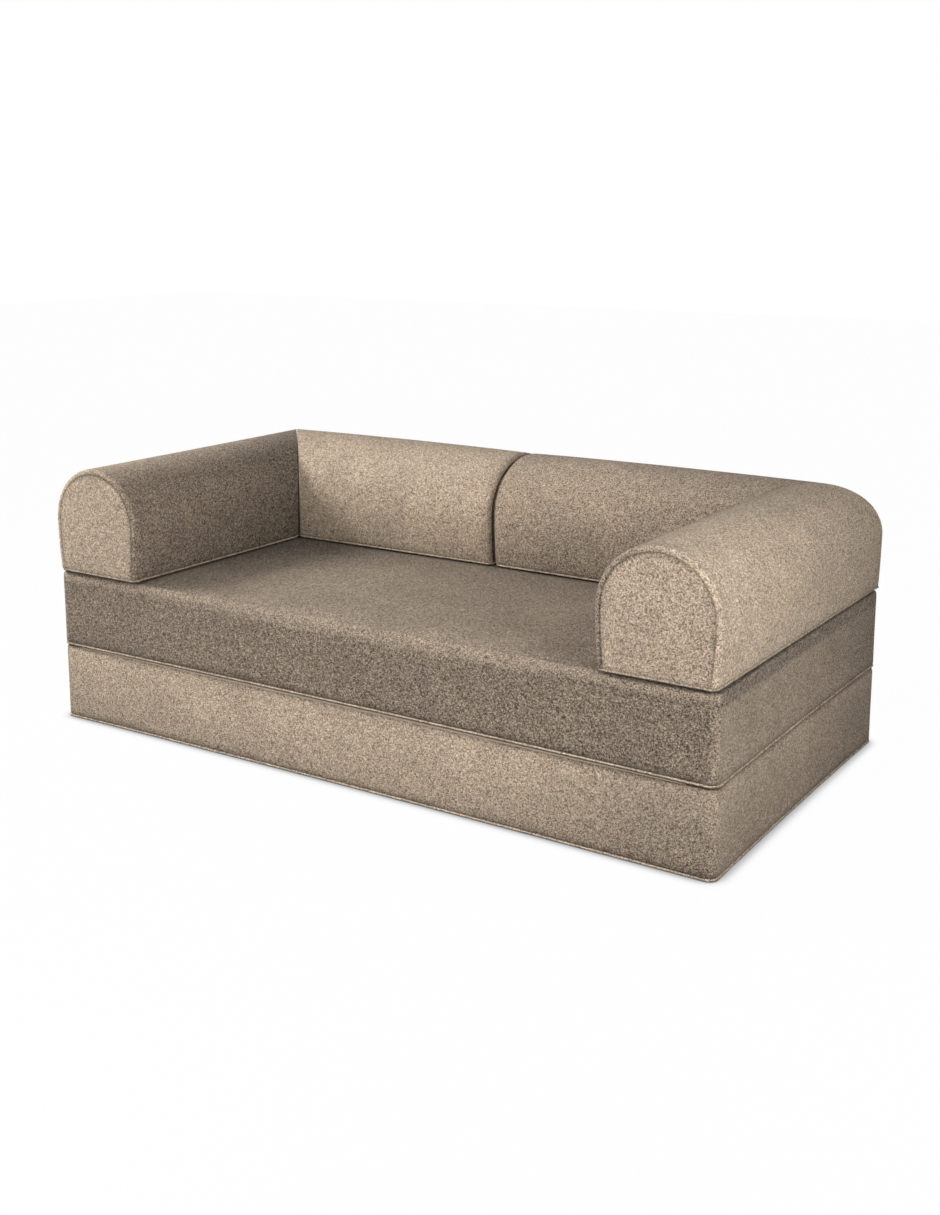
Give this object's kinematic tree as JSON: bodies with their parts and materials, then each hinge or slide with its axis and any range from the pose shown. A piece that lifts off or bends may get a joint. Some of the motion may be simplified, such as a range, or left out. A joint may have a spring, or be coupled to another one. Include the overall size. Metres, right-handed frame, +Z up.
{
  "type": "foam sofa bed",
  "caption": "Foam sofa bed: two covered foam slabs on a cloth hinge that fold out to a bed, with lift-off D-section arm and back bolsters mitred at the rear corners.",
  "frame": {"origin": "on the floor, under the middle of the sofa's box", "axes": "+X along the sofa to the right arm as seen from the front, +Y from the front to the back, +Z up"},
  "size_m": [1.9008, 1.0038, 0.6904],
  "materials": {
    "cover_fabric": "marled taupe chenille boucle",
    "welt_fabric": "piping cut from the same chenille",
    "underlay": "plain dark woven underlay",
    "foam": "open-cell polyurethane foam",
    "wadding": "polyester wadding",
    "hinge_cloth": "strong plain-woven hinge cloth",
    "zip_nylon": "nylon coil zip",
    "zip_metal": "lacquered zinc slider",
    "hook_and_loop": "woven hook and loop tape"
  },
  "bodies": {
    "base": {"base_cover": "cover_fabric", "base_wadding": "wadding", "base_foam_core": "foam", "base_bottom_panel": "underlay", "base_bottom_welt": "welt_fabric", "base_zip": "zip_nylon", "hinge_cloth_lower": "hinge_cloth"},
    "seat": {"seat_cover": "cover_fabric", "seat_wadding": "wadding", "seat_foam_core": "foam", "seat_bottom_panel": "underlay", "seat_bottom_welt": "welt_fabric", "seat_zip": "zip_nylon", "hinge_cloth_upper": "hinge_cloth", "loop_strips": "hook_and_loop"},
    "left_arm": {"left_arm_cover": "cover_fabric", "left_arm_wadding": "wadding", "left_arm_foam_core": "foam", "left_arm_bottom_panel": "underlay", "left_arm_bottom_welt": "welt_fabric", "left_arm_zip": "zip_nylon", "left_arm_end_panels": "cover_fabric", "left_arm_hook_strips": "hook_and_loop"},
    "right_arm": {"right_arm_cover": "cover_fabric", "right_arm_wadding": "wadding", "right_arm_foam_core": "foam", "right_arm_bottom_panel": "underlay", "right_arm_bottom_welt": "welt_fabric", "right_arm_zip": "zip_nylon", "right_arm_end_panels": "cover_fabric", "right_arm_hook_strips": "hook_and_loop"},
    "back_left": {"back_left_cover": "cover_fabric", "back_left_wadding": "wadding", "back_left_foam_core": "foam", "back_left_bottom_panel": "underlay", "back_left_bottom_welt": "welt_fabric", "back_left_zip": "zip_nylon", "back_left_end_panels": "cover_fabric", "back_left_hook_strips": "hook_and_loop"},
    "back_right": {"back_right_cover": "cover_fabric", "back_right_wadding": "wadding", "back_right_foam_core": "foam", "back_right_bottom_panel": "underlay", "back_right_bottom_welt": "welt_fabric", "back_right_zip": "zip_nylon", "back_right_end_panels": "cover_fabric", "back_right_hook_strips": "hook_and_loop"},
    "base_slider": {"base_zip_slider": "zip_metal"},
    "seat_slider": {"seat_zip_slider": "zip_metal"},
    "left_arm_slider": {"left_arm_zip_slider": "zip_metal"},
    "right_arm_slider": {"right_arm_zip_slider": "zip_metal"},
    "back_left_slider": {"back_left_zip_slider": "zip_metal"},
    "back_right_slider": {"back_right_zip_slider": "zip_metal"}
  },
  "joints": [
    {"name": "seat_fold", "type": "hinge", "parent": "base", "child": "seat", "pos_m": [0, -0.5004, 0.2012], "axis": [1, 0, 0], "range_deg": [0, 180]},
    {"name": "left_arm_lift", "type": "slide", "parent": "seat", "child": "left_arm", "axis": [0, 0, 1], "range_m": [0, 0.35]},
    {"name": "right_arm_lift", "type": "slide", "parent": "seat", "child": "right_arm", "axis": [0, 0, 1], "range_m": [0, 0.35]},
    {"name": "back_left_lift", "type": "slide", "parent": "seat", "child": "back_left", "axis": [0, 0, 1], "range_m": [0, 0.35]},
    {"name": "back_right_lift", "type": "slide", "parent": "seat", "child": "back_right", "axis": [0, 0, 1], "range_m": [0, 0.35]},
    {"name": "base_zip_run", "type": "slide", "parent": "base", "child": "base_slider", "axis": [1, 0, 0], "range_m": [0, 1.521]},
    {"name": "seat_zip_run", "type": "slide", "parent": "seat", "child": "seat_slider", "axis": [1, 0, 0], "range_m": [0, 1.521]},
    {"name": "left_arm_zip_run", "type": "slide", "parent": "left_arm", "child": "left_arm_slider", "axis": [0, 1, 0], "range_m": [0, 0.497]},
    {"name": "right_arm_zip_run", "type": "slide", "parent": "right_arm", "child": "right_arm_slider", "axis": [0, 1, 0], "range_m": [0, 0.497]},
    {"name": "back_left_zip_run", "type": "slide", "parent": "back_left", "child": "back_left_slider", "axis": [-1, 0, 0], "range_m": [0, 0.497]},
    {"name": "back_right_zip_run", "type": "slide", "parent": "back_right", "child": "back_right_slider", "axis": [1, 0, 0], "range_m": [0, 0.497]}
  ]
}
